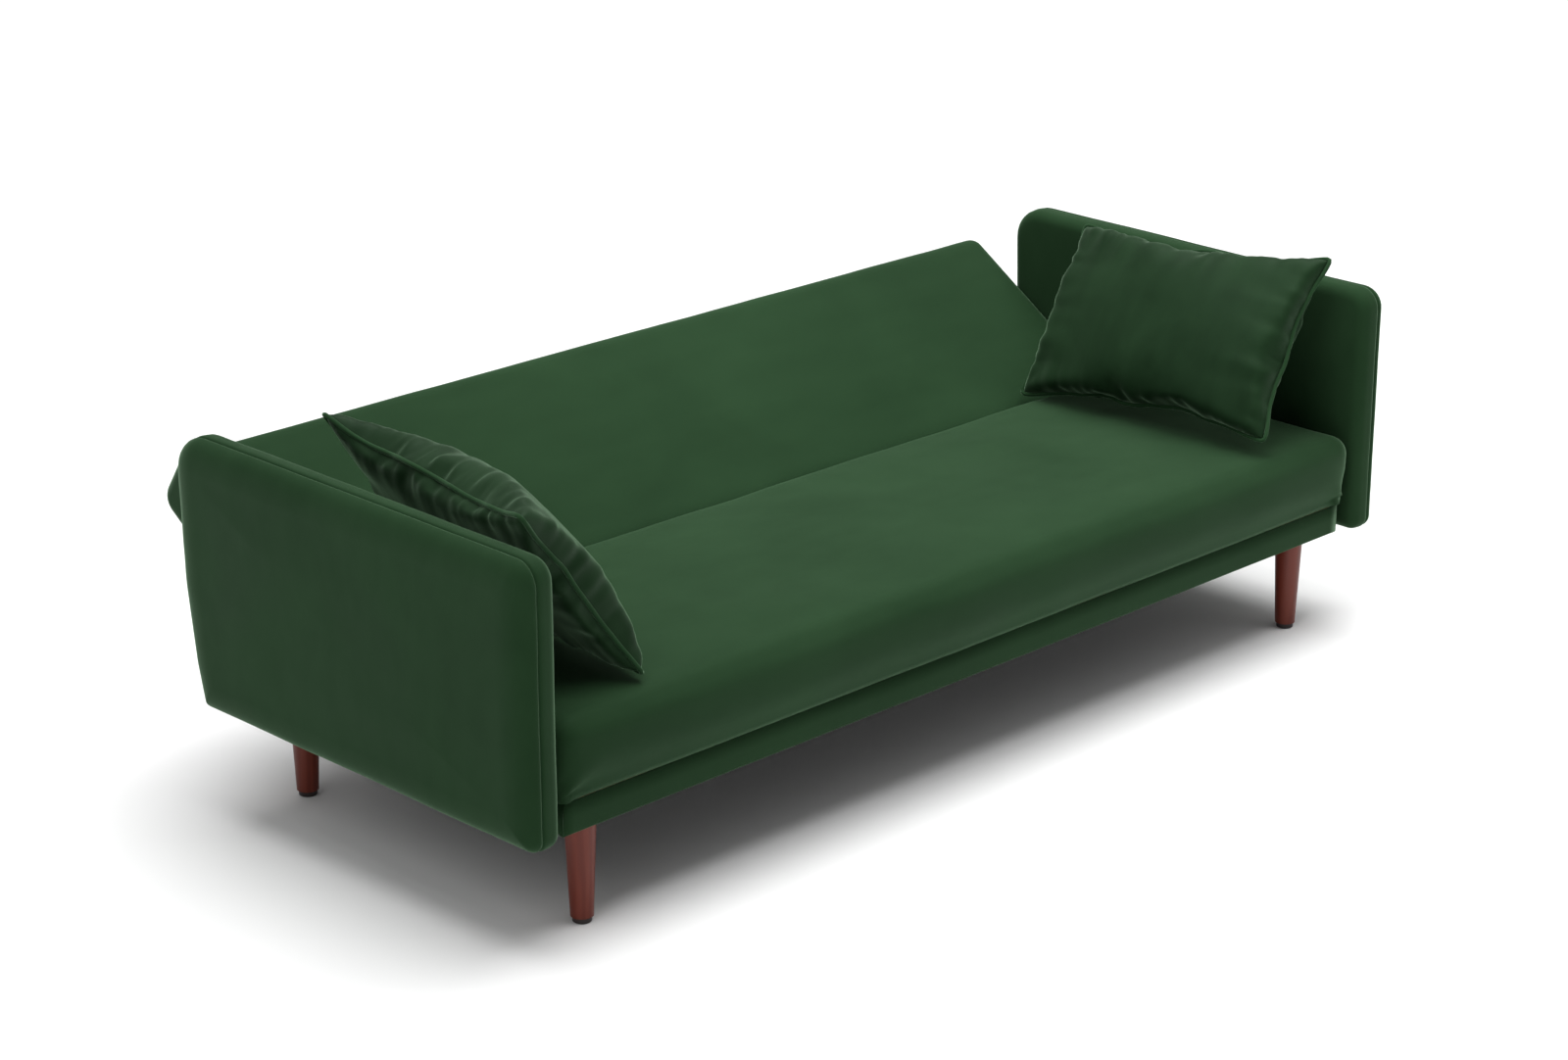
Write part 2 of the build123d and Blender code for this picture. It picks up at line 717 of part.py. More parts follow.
def back_boards():
    h = (back_board_rear, back_board_front)
    half = back_bottom_board_half
    bottom = block((-half, half), back_bottom_board, h)
    top = block((-rail_half_length, rail_half_length), back_top_board, h)
    stile_s = (back_bottom_board[1] + gap, back_top_board[0])
    stile = block((rail_half_length - board_width, rail_half_length), stile_s, h)
    bar_h = (hinge_arm_h[0] + hinge_arm_h[1]) / 2
    for s in hinge_arm_screws:
        start = rail_half_length - hinge_screw_depth - gap
        stile -= side_rod(hinge_screw_radius + bolt_clearance, start, rail_half_length, s, bar_h)
    centre = block((-board_width / 2, board_width / 2), stile_s, h)
    save("back_frame_bottom", back_place * bottom)
    save("back_frame_top", back_place * top)
    save("back_frame_stiles", *[back_place * solid for solid in (stile, mirrored(stile), centre)])


def back_straps():
    h = (back_board_front, back_board_front + strap_thickness)
    s = (back_bottom_board[0] + gap, back_top_board[1] - gap)
    half = strap_width / 2
    places = spaced(strap_first_x, strap_pitch, strap_end_margin)
    straps = [block((x - half, x + half), s, h) for x in places]
    save("back_straps", *[back_place * strap for strap in straps])


def back_cover():
    shell_inside = back_solid(skin, skin)
    for notch in end_notches(notch_x - skin, back_bottom_board[1]):
        shell_inside -= notch
    cover = back_solid(0, 0)
    for notch in end_notches(notch_x, back_half_thickness):
        cover -= notch
    cover -= shell_inside
    half = rear_cloth_half - rear_opening_inset
    opening_s = (rear_cloth_s[0] + rear_opening_inset, rear_cloth_s[1] - rear_opening_inset)
    inner_h = skin - back_half_thickness
    cover -= block((-half, half), opening_s, (-back_half_thickness - skin, inner_h + gap))
    slot_s = (back_half_thickness - gap, back_bottom_board[1] + gap)
    slot_h = (hinge_arm_h[0] - gap, hinge_arm_h[1] + gap)
    slot = block((notch_x - gap, hinge_arm_x[1] + gap), slot_s, slot_h)
    for cut in (slot, mirrored(slot)):
        cover -= cut
    return cover


def back_foams():
    inset = skin + gap
    whole = back_solid(inset, inset)
    for notch in end_notches(notch_x - inset, back_bottom_board[1] + gap):
        whole -= notch
    far = 2 * back_reach
    split_h = back_board_front + strap_thickness + gap
    every_x = (-overall_length, overall_length)
    slab = whole & block(every_x, (-far, far), (split_h, far))
    behind_h = (-far, split_h - gap)
    lower = whole & block(every_x, (-far, back_bottom_board[0] - gap), behind_h)
    upper = whole & block(every_x, (back_top_board[1] + gap, far), behind_h)
    save("back_foam", back_place * slab)
    save("back_edge_foam", back_place * lower, back_place * upper)


def backrest():
    back_boards()
    back_straps()
    back_foams()
    save("back_cover", back_place * back_cover())
    rear = -back_half_thickness - gap
    cloth = block((-rear_cloth_half, rear_cloth_half), rear_cloth_s, (rear - dust_cloth_thickness, rear))
    save("back_rear_cloth", back_place * cloth)


# ================================================================ pillows
def bulge(step, height):
    return height * (1 - step**pillow_bulge_power) ** pillow_bulge_root


def pillow_section(step, inset, height):
    """One level of the pillow: the outline shrunk by a step and rounded."""
    length = (pillow_length - 2 * inset) * step
    width = (pillow_height - 2 * inset) * (1 - (1 - step) * pillow_length / pillow_height * pillow_side_rate)
    width = max(width, pillow_corner_growth)
    radius = pillow_corner_radius + pillow_corner_growth * (1 - step)
    radius = min(radius, width / 2 - pillow_radius_margin)
    return Pos(0, 0, height) * RectangleRounded(length, width, radius)


def pillow_solid(inset):
    halves = []
    for height, side in ((pillow_front_bulge, 1), (pillow_rear_bulge, -1)):
        levels = [bulge(step, height - inset) * side for step in pillow_steps]
        sections = [pillow_section(step, inset, z) for step, z in zip(pillow_steps, levels)]
        halves.append(loft(sections, ruled=True))
    return halves[0] + halves[1]


def piping():
    """Self-fabric cord round the pillow's edge, just outside the cover."""
    reach = pillow_piping_radius + gap
    radius = pillow_corner_radius + reach
    path = RectangleRounded(pillow_length + 2 * reach, pillow_height + 2 * reach, radius).wire()
    section = Plane(path @ 0, z_dir=path % 0) * Circle(pillow_piping_radius)
    return sweep(section, path=path)


def pillow(node, centre, along, up):
    front = Vector(*along).cross(Vector(*up))
    if front.X * centre[0] > 0:
        front = -front
    place = Plane(origin=centre, x_dir=along, z_dir=front).location
    insert = pillow_solid(skin / 2 + gap)
    cover = pillow_solid(0) - pillow_solid(skin / 2)
    save(f"{node}_pillow_insert", place * insert)
    save(f"{node}_pillow_cover", place * cover)
    save(f"{node}_pillow_piping", place * piping())


base()
seat()
arm()
arm_fixings()
hinge()
backrest()
pillow("right", right_pillow_centre, right_pillow_along, right_pillow_up)
pillow("left", left_pillow_centre, left_pillow_along, left_pillow_up)
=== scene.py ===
import bpy
import bmesh
import json
import math
import numpy as np
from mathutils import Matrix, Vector, noise


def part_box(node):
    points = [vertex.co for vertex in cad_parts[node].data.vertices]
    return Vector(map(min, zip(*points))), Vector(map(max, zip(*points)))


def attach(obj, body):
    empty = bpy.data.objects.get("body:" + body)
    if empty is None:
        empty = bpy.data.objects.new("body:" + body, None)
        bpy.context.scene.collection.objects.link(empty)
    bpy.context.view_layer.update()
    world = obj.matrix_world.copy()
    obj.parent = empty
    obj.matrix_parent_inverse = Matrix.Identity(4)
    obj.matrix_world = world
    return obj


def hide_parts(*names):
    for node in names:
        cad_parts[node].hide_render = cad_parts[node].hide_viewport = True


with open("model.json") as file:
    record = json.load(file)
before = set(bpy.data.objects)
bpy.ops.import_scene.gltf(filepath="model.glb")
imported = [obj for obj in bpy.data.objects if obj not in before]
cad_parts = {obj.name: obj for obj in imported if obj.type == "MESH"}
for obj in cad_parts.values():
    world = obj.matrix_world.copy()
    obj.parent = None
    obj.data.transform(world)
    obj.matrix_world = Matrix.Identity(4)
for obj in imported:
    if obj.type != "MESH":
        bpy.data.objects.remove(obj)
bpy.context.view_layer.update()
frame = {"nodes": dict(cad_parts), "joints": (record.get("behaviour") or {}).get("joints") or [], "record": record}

# ------------------------------------------------------------------ camera and room
CAMERA_PLACE = Vector((-4.1892, -4.1498, 2.4145))
CAMERA_LOOK = Vector((0.6676, 0.6642, -0.3363))
CAMERA_LENS = 81.68
FLOOR_COLOUR = (0.93, 0.93, 0.93)
FLOOR_REACH = 30.0
SKY_STRENGTH = 0.22


# ------------------------------------------------------------------ mesh helpers
def new_object(name, points, faces, material, body):
    """A mesh piece in row-frame metres that rides on a body."""
    mesh = bpy.data.meshes.new(name)
    mesh.from_pydata([tuple(p) for p in points], [], faces)
    mesh.update()
    piece = bpy.data.objects.new(name, mesh)
    bpy.context.collection.objects.link(piece)
    finish_mesh(piece)
    if material:
        mesh.materials.append(material)
    if body:
        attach(piece, body)
    return piece


def finish_mesh(piece):
    """Outward normals and smooth shading."""
    work = bmesh.new()
    work.from_mesh(piece.data)
    bmesh.ops.recalc_face_normals(work, faces=work.faces)
    work.to_mesh(piece.data)
    work.free()
    for polygon in piece.data.polygons:
        polygon.use_smooth = True


def ring_faces(ring_count, size):
    """Quads between closed rings that follow each other."""
    faces = []
    for ring in range(ring_count - 1):
        a = ring * size
        b = a + size
        for i in range(size):
            j = (i + 1) % size
            faces.append((a + i, a + j, b + j, b + i))
    return faces


def closed_loft(rings):
    """Points and faces of a solid through closed rings, with a fan at each end."""
    size = len(rings[0])
    points = [p for ring in rings for p in ring]
    faces = ring_faces(len(rings), size)
    first = sum(rings[0], Vector()) / size
    last = sum(rings[-1], Vector()) / size
    points += [first, last]
    end = len(points)
    top = (len(rings) - 1) * size
    for i in range(size):
        j = (i + 1) % size
        faces.append((end - 2, j, i))
        faces.append((end - 1, top + i, top + j))
    return points, faces


def closed_cord(name, path, radius, material, body, sides=10):
    """A round cord along a closed path."""
    count = len(path)
    points = []
    normal = None
    for i, point in enumerate(path):
        along = (path[(i + 1) % count] - path[i - 1]).normalized()
        if normal is None:
            normal = along.orthogonal().normalized()
        normal = (normal - along * normal.dot(along)).normalized()
        across = along.cross(normal)
        for k in range(sides):
            angle = 2 * math.pi * k / sides
            points.append(point + (normal * math.cos(angle) + across * math.sin(angle)) * radius)
    faces = ring_faces(count, sides)
    last = (count - 1) * sides
    # the ring may have turned on its way round, so the ends are joined at their nearest corners
    start = min(range(sides), key=lambda k: (points[last] - points[k]).length)
    for i in range(sides):
        j = (i + 1) % sides
        a, b = (start + i) % sides, (start + j) % sides
        faces.append((last + i, last + j, b, a))
    return new_object(name, points, faces, material, body)


def smoothstep(low, high, value):
    t = min(1.0, max(0.0, (value - low) / (high - low)))
    return t * t * (3 - 2 * t)


def soft_noise(point, size, seed):
    return noise.noise(point / size + Vector((seed, seed * 1.7, -seed)))


def waves(point, seed, *layers):
    """Height of soft waves at a point, each layer given as (height, size)."""
    return sum(height * soft_noise(point, size, seed) for height, size in layers)


def quarter_turn(steps):
    """(1 - sine, 1 - cosine) at even angles of a quarter circle."""
    angles = [math.pi / 2 * k / steps for k in range(steps + 1)]
    return [(1 - math.sin(angle), 1 - math.cos(angle)) for angle in angles]


SHARPEST = 0.004


def rounded_outline(corners, radii, inset, arc_steps=8, edge_step=0.02):
    """A polygon moved inward by an inset, with rounded corners, as evenly placed points."""
    count = len(corners)
    lines = []
    for i in range(count):
        a, b = Vector(corners[i]), Vector(corners[(i + 1) % count])
        along = (b - a).normalized()
        inward = Vector((-along.y, along.x))
        lines.append((a + inward * inset, along))
    moved = []
    for i in range(count):
        p, u = lines[i - 1]
        q, v = lines[i]
        cross = u.x * v.y - u.y * v.x
        t = ((q.x - p.x) * v.y - (q.y - p.y) * v.x) / cross
        moved.append(p + u * t)
    arcs = []
    for i in range(count):
        u, v = lines[i - 1][1], lines[i][1]
        turn = math.acos(max(-1.0, min(1.0, u.dot(v))))
        radius = max(radii[i] - inset, SHARPEST)
        reach = radius * math.tan(turn / 2)
        centre = moved[i] - u * reach + Vector((-u.y, u.x)) * radius
        start = moved[i] - u * reach - centre
        arc = []
        for k in range(arc_steps + 1):
            angle = turn * k / arc_steps
            c, s = math.cos(angle), math.sin(angle)
            arc.append(centre + Vector((start.x * c - start.y * s, start.x * s + start.y * c)))
        arcs.append(arc)
    points = []
    for i in range(count):
        points += arcs[i]
        start, end = arcs[i][-1], arcs[(i + 1) % count][0]
        base = (Vector(corners[(i + 1) % count]) - Vector(corners[i])).length
        pieces = max(1, int(base / edge_step))
        for k in range(1, pieces):
            points.append(start.lerp(end, k / pieces))
    return points


def box_grid(low, high, step):
    """Points and faces of a box surface as a welded grid."""
    size = high - low
    counts = [max(2, round(size[k] / step)) for k in range(3)]
    index = {}
    points = []
    faces = []

    def vertex(i, j, k):
        key = (i, j, k)
        if key not in index:
            index[key] = len(points)
            part = Vector((i / counts[0], j / counts[1], k / counts[2]))
            points.append(Vector((low[n] + size[n] * part[n] for n in range(3))))
        return index[key]

    for axis in range(3):
        u, v = [n for n in range(3) if n != axis]
        for side in (0, counts[axis]):
            for a in range(counts[u]):
                for b in range(counts[v]):
                    quad = []
                    for da, db in ((0, 0), (1, 0), (1, 1), (0, 1)):
                        place = [0, 0, 0]
                        place[axis] = side
                        place[u] = a + da
                        place[v] = b + db
                        quad.append(vertex(*place))
                    faces.append(tuple(quad))
    return points, faces


def round_box_point(point, low, high, radius):
    """The point of a box surface moved onto the box with rounded edges."""
    core = Vector((min(max(point[n], low[n] + radius), high[n] - radius) for n in range(3)))
    away = point - core
    if away.length < 1e-9:
        return point
    return core + away.normalized() * radius


# ------------------------------------------------------------------ materials
def shader(name):
    material = bpy.data.materials.new(name)
    material.use_nodes = True
    tree = material.node_tree
    return material, tree, tree.nodes["Principled BSDF"]


def add(tree, kind, **values):
    node = tree.nodes.new(kind)
    for key, value in values.items():
        setattr(node, key, value)
    return node


def noise_node(tree, scale, detail, vector, distortion=0.0):
    node = add(tree, "ShaderNodeTexNoise")
    node.inputs["Scale"].default_value = scale
    node.inputs["Detail"].default_value = detail
    node.inputs["Distortion"].default_value = distortion
    tree.links.new(vector, node.inputs["Vector"])
    return node.outputs["Fac"]


def ramp(tree, value, stops):
    node = add(tree, "ShaderNodeValToRGB")
    elements = node.color_ramp.elements
    while len(elements) < len(stops):
        elements.new(0.5)
    for element, (place, colour) in zip(elements, stops):
        element.position = place
        element.color = (*colour, 1.0)
    tree.links.new(value, node.inputs["Fac"])
    return node.outputs["Color"]


def grey_ramp(tree, value, low, high, start=0.0, end=1.0):
    return ramp(tree, value, ((start, (low,) * 3), (end, (high,) * 3)))


def bump(tree, height, strength, distance, before=None):
    node = add(tree, "ShaderNodeBump")
    node.inputs["Strength"].default_value = strength
    node.inputs["Distance"].default_value = distance
    tree.links.new(height, node.inputs["Height"])
    if before:
        tree.links.new(before, node.inputs["Normal"])
    return node.outputs["Normal"]


def coordinates(tree, scale=(1, 1, 1)):
    place = add(tree, "ShaderNodeTexCoord")
    mapping = add(tree, "ShaderNodeMapping")
    mapping.inputs["Scale"].default_value = scale
    tree.links.new(place.outputs["Object"], mapping.inputs["Vector"])
    return mapping.outputs["Vector"]


def velvet(name, deep, lit, grain=1.0, gloss=0.05, rough=0.60, patch=3.2):
    """Cut-pile velvet: brushed patches, streaks, fine pile and a coloured sheen; where the deep and lit colours
    are set far apart, the lighter patches are painted nap highlights.
    """
    material, tree, surface = shader(name)
    patches = noise_node(tree, patch, 3.0, coordinates(tree), 0.6)
    streaks = noise_node(tree, 26.0, 4.0, coordinates(tree, (0.25, 1.0, 0.55)))
    pile = noise_node(tree, 1500.0, 2.0, coordinates(tree))
    mix = add(tree, "ShaderNodeMath", operation="MULTIPLY_ADD")
    tree.links.new(streaks, mix.inputs[0])
    mix.inputs[1].default_value = 0.35
    tree.links.new(patches, mix.inputs[2])
    colour = ramp(tree, mix.outputs[0], ((0.35, deep), (1.0, lit)))
    tree.links.new(colour, surface.inputs["Base Color"])
    shine = grey_ramp(tree, patches, rough, rough + 0.16, 0.3, 0.7)
    tree.links.new(shine, surface.inputs["Roughness"])
    surface.inputs["Specular IOR Level"].default_value = gloss
    surface.inputs["Specular Tint"].default_value = (0.36, 0.66, 0.38, 1.0)
    surface.inputs["Sheen Weight"].default_value = 0.60
    surface.inputs["Sheen Roughness"].default_value = 0.32
    surface.inputs["Sheen Tint"].default_value = (0.42, 0.67, 0.43, 1.0)
    fine = bump(tree, pile, 0.28 * grain, 0.0006)
    tree.links.new(bump(tree, streaks, 0.10, 0.004, fine), surface.inputs["Normal"])
    return material


def wood(name, dark, mid, light, rough, scale=1.0):
    """Lacquered wood with long grain along the piece's height."""
    material, tree, surface = shader(name)
    along = coordinates(tree, (14 * scale, 14 * scale, 1.1 * scale))
    rings = add(tree, "ShaderNodeTexWave", wave_type="BANDS", bands_direction="X")
    rings.inputs["Scale"].default_value = 1.6
    rings.inputs["Distortion"].default_value = 7.0
    rings.inputs["Detail"].default_value = 3.0
    rings.inputs["Detail Scale"].default_value = 1.4
    tree.links.new(along, rings.inputs["Vector"])
    pores = noise_node(tree, 9.0, 8.0, coordinates(tree, (40 * scale, 40 * scale, 2.2 * scale)))
    mix = add(tree, "ShaderNodeMath", operation="MULTIPLY_ADD")
    tree.links.new(pores, mix.inputs[0])
    mix.inputs[1].default_value = 0.45
    tree.links.new(rings.outputs["Fac"], mix.inputs[2])
    colour = ramp(tree, mix.outputs[0], ((0.15, dark), (0.65, mid), (1.2, light)))
    tree.links.new(colour, surface.inputs["Base Color"])
    surface.inputs["Roughness"].default_value = rough
    surface.inputs["Specular IOR Level"].default_value = 0.25
    surface.inputs["Coat Weight"].default_value = 0.08
    surface.inputs["Coat Roughness"].default_value = 0.28
    tree.links.new(bump(tree, pores, 0.08, 0.0008), surface.inputs["Normal"])
    return material


def metal(name, colour, rough, metallic=1.0):
    material, tree, surface = shader(name)
    grain = noise_node(tree, 60.0, 5.0, coordinates(tree, (1, 6, 6)))
    shade = ramp(tree, grain, ((0.3, [c * 0.8 for c in colour]), (0.7, colour)))
    tree.links.new(shade, surface.inputs["Base Color"])
    tree.links.new(grey_ramp(tree, grain, rough * 0.85, rough * 1.15), surface.inputs["Roughness"])
    surface.inputs["Metallic"].default_value = metallic
    tree.links.new(bump(tree, grain, 0.05, 0.0004), surface.inputs["Normal"])
    return material


def plastic(name, colour, rough):
    material, tree, surface = shader(name)
    grain = noise_node(tree, 700.0, 3.0, coordinates(tree))
    shade = ramp(tree, grain, ((0.3, [c * 0.85 for c in colour]), (0.7, colour)))
    tree.links.new(shade, surface.inputs["Base Color"])
    surface.inputs["Roughness"].default_value = rough
    tree.links.new(bump(tree, grain, 0.15, 0.0002), surface.inputs["Normal"])
    return material


def woven(name, colour, scale):
    """Plain cloth with a crossed weave."""
    material, tree, surface = shader(name)
    heights = []
    for direction in ("X", "Y"):
        wave = add(tree, "ShaderNodeTexWave", wave_type="BANDS", bands_direction=direction)
        wave.inputs["Scale"].default_value = scale
        wave.inputs["Distortion"].default_value = 0.6
        tree.links.new(coordinates(tree), wave.inputs["Vector"])
        heights.append(wave.outputs["Fac"])
    mix = add(tree, "ShaderNodeMath", operation="ADD")
    tree.links.new(heights[0], mix.inputs[0])
    tree.links.new(heights[1], mix.inputs[1])
    shade = ramp(tree, mix.outputs[0], ((0.3, [c * 0.7 for c in colour]), (1.0, colour)))
    tree.links.new(shade, surface.inputs["Base Color"])
    surface.inputs["Roughness"].default_value = 0.9
    tree.links.new(bump(tree, mix.outputs[0], 0.3, 0.0005), surface.inputs["Normal"])
    return material


VELVET = velvet("green_velvet", (0.0118, 0.0320, 0.0128), (0.0190, 0.0465, 0.0200))
# The pillows' velvet is a darker copy of the green velvet, painted shade for how dark their faces look; its
# lighter colour, far from the deep one and in small patches, paints nap highlights.
PILLOW_VELVET_PAINTED_SHADE_AND_HIGHLIGHT = velvet(
    "green_velvet_pillow_painted_shade_and_highlight",
    (0.0052, 0.0150, 0.0058),
    (0.0140, 0.0355, 0.0148),
    gloss=0.13,
    rough=0.42,
    patch=6.0,
)
# A lighter copy of the green velvet for the piping cords: a painted highlight along the piping.
WELT_PAINTED_HIGHLIGHT = velvet("green_velvet_welt_painted_highlight", (0.0135, 0.0370, 0.0150), (0.0220, 0.0550, 0.0235), grain=0.8)
LEG_WOOD = wood(
    "stained_leg_wood",
    dark=(0.126, 0.0205, 0.0098),
    mid=(0.142, 0.0235, 0.0118),
    light=(0.160, 0.0290, 0.0150),
    rough=0.38,
)
FRAME_WOOD = wood(
    "frame_softwood",
    dark=(0.45, 0.31, 0.17),
    mid=(0.53, 0.38, 0.22),
    light=(0.61, 0.46, 0.28),
    rough=0.7,
    scale=0.4,
)
ZINC = metal("zinc_steel", (0.60, 0.61, 0.63), 0.38)
WIRE = metal("spring_wire", (0.33, 0.34, 0.36), 0.35)
BLACK_STEEL = metal("black_steel", (0.025, 0.025, 0.027), 0.45, metallic=0.0)
GLIDE = plastic("glide_plastic", (0.020, 0.014, 0.012), 0.45)
SPACER = plastic("spacer_plastic", (0.02, 0.02, 0.02), 0.5)
LINING = woven("black_lining", (0.018, 0.018, 0.018), scale=900.0)
WEBBING = woven("webbing", (0.50, 0.45, 0.36), scale=500.0)
FOAM = plastic("foam", (0.78, 0.70, 0.52), 0.95)

SLOT_MATERIALS = {
    "leg_wood": LEG_WOOD,
    "frame_wood": FRAME_WOOD,
    "zinc_steel": ZINC,
    "spring_steel": WIRE,
    "black_steel": BLACK_STEEL,
    "glide_plastic": GLIDE,
    "spacer_plastic": SPACER,
    "webbing": WEBBING,
    "lining": LINING,
    "foam": FOAM,
    "fibre_fill": FOAM,
    "velvet": VELVET,
}


def dress_cad_nodes():
    """Every carried-over CAD node gets its procedural material."""
    for part in frame["record"]["subparts"]:
        piece = frame["nodes"][part["node"]]
        piece.data.materials.clear()
        piece.data.materials.append(SLOT_MATERIALS[part["material_slot"]])


# ------------------------------------------------------------------ arms
ARM_SEAM = 0.040  # from the inner face out to the seam
ARM_EDGE = 0.022  # rounding between the inner face and the top
ARM_REAR_SLOPE = ((0.042, 0.0), (0.023, 0.077), (0.003, 0.215))  # (in from the rear, up)
ARM_RADII = (0.022, 0.014, 0.16, 0.35, 0.060, 0.040)  # at each corner of the outline
ARM_FRONT_DROP = 0.006
ARM_TOP_REAR = (0.001, 0.004)
ARM_TOP_FRONT_DROP = 0.005
SEAM_GROOVE = (  # (inset, depth past the seam)
    (-0.0006, -0.0120),
    (-0.0008, -0.0060),
    (-0.0002, -0.0028),
    (0.0012, -0.0013),
    (0.0034, 0.0000),
    (0.0016, 0.0011),
)
PAD_LIFT = 0.0012
PAD_SWELL = 0.0325
PAD_REACH = 0.105  # how far in from the seam the swell runs
PAD_RINGS = (0.0003, 0.0008, 0.0017, 0.003, 0.005, 0.008, 0.012, 0.017, 0.023, 0.030, 0.039, 0.050)
PAD_CROWN = 0.0022
PAD_TAPER = 0.05  # part of the swell lost at the bottom of the front
TAPER_REACH = (0.30, 0.16)  # rearward and upward
ARM_SEEDS = {"left": 3.0, "right": 8.0}


def arm_outline(inset):
    """The arm seen from the side, as (y, z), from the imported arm's own box."""
    low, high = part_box("left_arm_wrap")
    corners = [(low.y, low.z - ARM_FRONT_DROP)]
    corners += [(high.y - forward, low.z + up) for forward, up in ARM_REAR_SLOPE]
    corners.append((high.y + ARM_TOP_REAR[0], high.z + ARM_TOP_REAR[1]))
    corners.append((low.y, high.z - ARM_TOP_FRONT_DROP))
    return rounded_outline(corners, ARM_RADII, inset)


def pad_depth(inset):
    """Depth of the padded outer face at a distance in from the seam."""
    part = 1 - min(1.0, inset / PAD_REACH)
    return ARM_SEAM + PAD_LIFT + PAD_SWELL * math.sqrt(1 - part**4.5)


def arm_profile():
    """(inset, depth from the inner face) from the inner face out to the outer one."""
    steps = [(ARM_EDGE + 0.023, 0.0), (ARM_EDGE + 0.010, 0.0)]
    steps += [(ARM_EDGE * inset, ARM_EDGE * depth) for inset, depth in quarter_turn(8)]
    steps += [(inset, ARM_SEAM + past) for inset, past in SEAM_GROOVE]
    steps += [(inset, pad_depth(inset)) for inset in PAD_RINGS]
    return steps


def arm_waves(p, side, seam, seed):
    """The slightly uneven cloth of an arm, gathered along the seam."""
    p.x += waves(p, seed, (0.0011, 0.16), (0.0005, 0.05))
    p.z += waves(p, seed + 1, (0.0012, 0.22))
    p.y += waves(p, seed + 2, (0.0010, 0.20))
    by_seam = math.exp(-abs(abs(p.x) - seam) / 0.006)
    p.x += side * by_seam * waves(p, seed + 3, (0.0009, 0.016))


def arm(side, name):
    low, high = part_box(f"{name}_arm_wrap")
    inner = abs((high if side < 0 else low).x)
    rings = []
    for inset, depth in arm_profile():
        ring = []
        for p in arm_outline(inset):
            by_front = 1 - smoothstep(0.0, TAPER_REACH[0], p.x - low.y)
            by_floor = 1 - smoothstep(0.0, TAPER_REACH[1], p.y - low.z)
            full = 1 - PAD_TAPER * by_front * by_floor
            swell = min(depth, ARM_SEAM) + max(depth - ARM_SEAM, 0) * full
            ring.append(Vector((side * (inner + swell), p.x, p.y)))
        rings.append(ring)
    last = rings[-1]
    centre = sum(last, Vector()) / len(last)
    centre.x = side * (inner + pad_depth(PAD_REACH) + PAD_CROWN)
    outer_rings = 16
    for k in range(1, outer_rings):
        t = (k / outer_rings) ** 1.3
        ring = [p.lerp(centre, t) for p in last]
        for p, edge in zip(ring, last):
            p.x = edge.x + (centre.x - edge.x) * smoothstep(0.0, 0.55, t)
        rings.append(ring)
    first = rings[0]
    centre = sum(first, Vector()) / len(first)
    inner_rings = 12
    head = [[p.lerp(centre, k / inner_rings) for p in first] for k in range(inner_rings - 1, 0, -1)]
    rings = head + rings
    for ring in rings:
        for p in ring:
            arm_waves(p, side, inner + ARM_SEAM + 0.004, ARM_SEEDS[name])
    points, faces = closed_loft(rings)
    pad = new_object(f"{name}_arm_panel", points, faces, VELVET, "base")
    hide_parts(f"{name}_arm_wrap", f"{name}_arm_outer_pad")


# ------------------------------------------------------------------ seat cushion
SEAT_TOP_EDGE = 0.034
SEAT_LOW_EDGE = 0.004
SEAT_INSET = (0.003, 0.001, 0.007)  # from the box of the cover: front, rear and top
SEAT_CROWN = 0.012
SEAT_BELLY = 0.009
SEAT_TUCK = 0.017
SEAT_END_TUCK = 0.007
SEAT_GRID = 0.010
CREASE_DEPTH = 0.009
CREASE_REACH = 0.040
CREASE_COUNT = 5
HINGE_GAP = 0.003
HINGE_CLEAR_FRONT = 0.008
HINGE_CLEAR_TOP = 0.286  # the cushion's ends are narrower below this height, by the hinges


def seat_shape(point, low, high):
    """Crowned top, full front and tucked lower edge of the seat cushion."""
    level = (point.z - low.z) / (high.z - low.z)
    edge = SEAT_LOW_EDGE + (SEAT_TOP_EDGE - SEAT_LOW_EDGE) * smoothstep(0.0, 0.5, level)
    p = round_box_point(point, low, high, edge)
    across = (p.y - low.y) / (high.y - low.y)
    along = abs(p.x / high.x)
    crown = (1 - along**6) * (1 - (2 * across - 1) ** 4)
    p.z += SEAT_CROWN * crown * level
    front = 1 - smoothstep(0.0, 0.10, across)
    p.y -= SEAT_BELLY * math.sin(math.pi * level) * (1 - along**10) * front
    tuck = (1 - smoothstep(0.0, 0.62, level)) ** 1.5
    p.y += SEAT_TUCK * tuck * front
    by_end = smoothstep(0.94, 1.0, along) * (0.25 + 0.75 * front)
    p.x -= math.copysign(SEAT_END_TUCK * tuck * by_end, p.x)
    for side in (-1, 1):
        p.y += corner_crease(p, side, low, high) * front
    return p


def corner_crease(p, side, low, high):
    """Depth of the creases that spread from a lower front corner of the seat."""
    corner = Vector((side * (high.x - 0.004), 0, low.z + 0.012))
    away = Vector((p.x, 0, p.z)) - corner
    reach = away.length
    angle = math.atan2(away.z, -side * away.x)
    fade = math.exp(-reach / CREASE_REACH) * smoothstep(0.003, 0.02, reach)
    return CREASE_DEPTH * fade * math.cos(CREASE_COUNT * angle)


def hinge_inside():
    """How far out cloth may reach beside the hinge arms."""
    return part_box("right_hinge_arm")[0].x - HINGE_GAP


